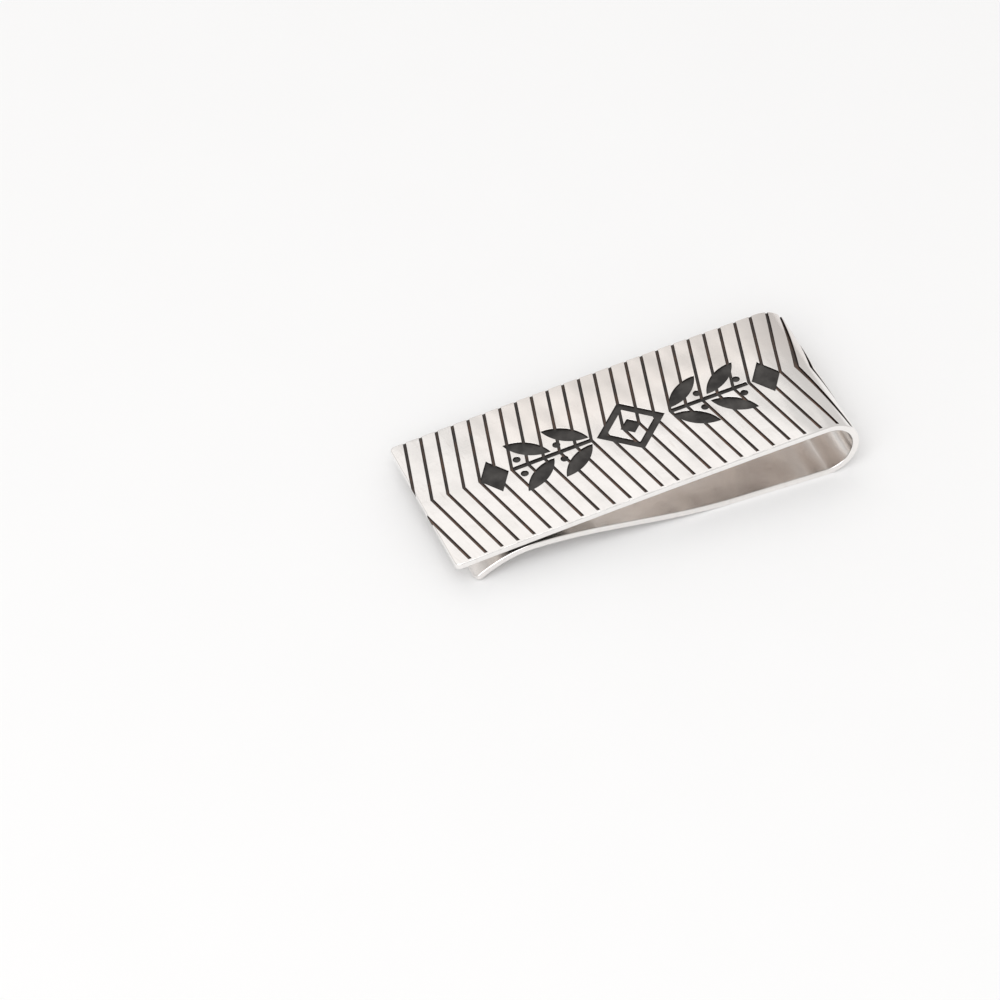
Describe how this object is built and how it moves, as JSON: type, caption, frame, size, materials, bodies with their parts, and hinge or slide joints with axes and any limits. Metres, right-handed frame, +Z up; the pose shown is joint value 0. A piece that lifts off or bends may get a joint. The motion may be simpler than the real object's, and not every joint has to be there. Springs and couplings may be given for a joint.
{
  "type": "money clip",
  "caption": "Folded-strip silver money clip: engraved show leg with dark chevron pinstripes and a leaf ornament, a rounded spring bend and a bowed rear leg.",
  "frame": {"origin": "middle of the bounding box in plan, at the height of the surface the clip lies on, which is the underside of the rear leg", "axes": "+X along the clip from the free ends to the bend, +Y across the strip to the far long edge, +Z up out of the engraved show face"},
  "size_m": [0.0506, 0.0204, 0.0079],
  "materials": {
    "silver": "polished sterling silver, fine hand-polishing marks",
    "pinstripe_fill": "dark enamel, satin",
    "ornament_fill": "dark oxidised fill, matt"
  },
  "bodies": {
    "rear": {"rear_leg": "silver", "spring_bend": "silver"},
    "front": {"front_leg": "silver", "ornament_centre_frame": "ornament_fill", "ornament_centre_seed": "ornament_fill", "ornament_leaf_bend_side_far_1": "ornament_fill", "ornament_leaf_bend_side_far_2": "ornament_fill", "ornament_leaf_bend_side_near_1": "ornament_fill", "ornament_leaf_bend_side_near_2": "ornament_fill", "ornament_leaf_tip_side_far_1": "ornament_fill", "ornament_leaf_tip_side_far_2": "ornament_fill", "ornament_leaf_tip_side_near_1": "ornament_fill", "ornament_leaf_tip_side_near_2": "ornament_fill", "ornament_lozenge_bend_side": "ornament_fill", "ornament_lozenge_tip_side": "ornament_fill", "ornament_seeds_bend_side_1": "ornament_fill", "ornament_seeds_bend_side_2": "ornament_fill", "ornament_seeds_tip_side_1": "ornament_fill", "ornament_seeds_tip_side_2": "ornament_fill", "ornament_stem_bend_side": "ornament_fill", "ornament_stem_tip_side": "ornament_fill", "pinstripe_01": "pinstripe_fill", "pinstripe_02": "pinstripe_fill", "pinstripe_03": "pinstripe_fill", "pinstripe_04": "pinstripe_fill", "pinstripe_05": "pinstripe_fill", "pinstripe_06": "pinstripe_fill", "pinstripe_07": "pinstripe_fill", "pinstripe_08": "pinstripe_fill", "pinstripe_09": "pinstripe_fill", "pinstripe_10": "pinstripe_fill", "pinstripe_11": "pinstripe_fill", "pinstripe_12": "pinstripe_fill", "pinstripe_13": "pinstripe_fill", "pinstripe_14": "pinstripe_fill", "pinstripe_15": "pinstripe_fill", "pinstripe_16": "pinstripe_fill", "pinstripe_17": "pinstripe_fill", "pinstripe_18": "pinstripe_fill", "pinstripe_19": "pinstripe_fill", "pinstripe_20": "pinstripe_fill", "pinstripe_21": "pinstripe_fill", "pinstripe_22": "pinstripe_fill", "pinstripe_23": "pinstripe_fill", "pinstripe_24": "pinstripe_fill", "pinstripe_25": "pinstripe_fill", "pinstripe_26": "pinstripe_fill"}
  },
  "joints": [
    {"name": "flex", "type": "hinge", "parent": "rear", "child": "front", "pos_m": [0.0235, 0, 0.0012], "axis": [0, 1, 0], "range_deg": [0, 12], "stiffness_Nm_per_rad": 3.5, "deforming": ["spring_bend"]}
  ]
}
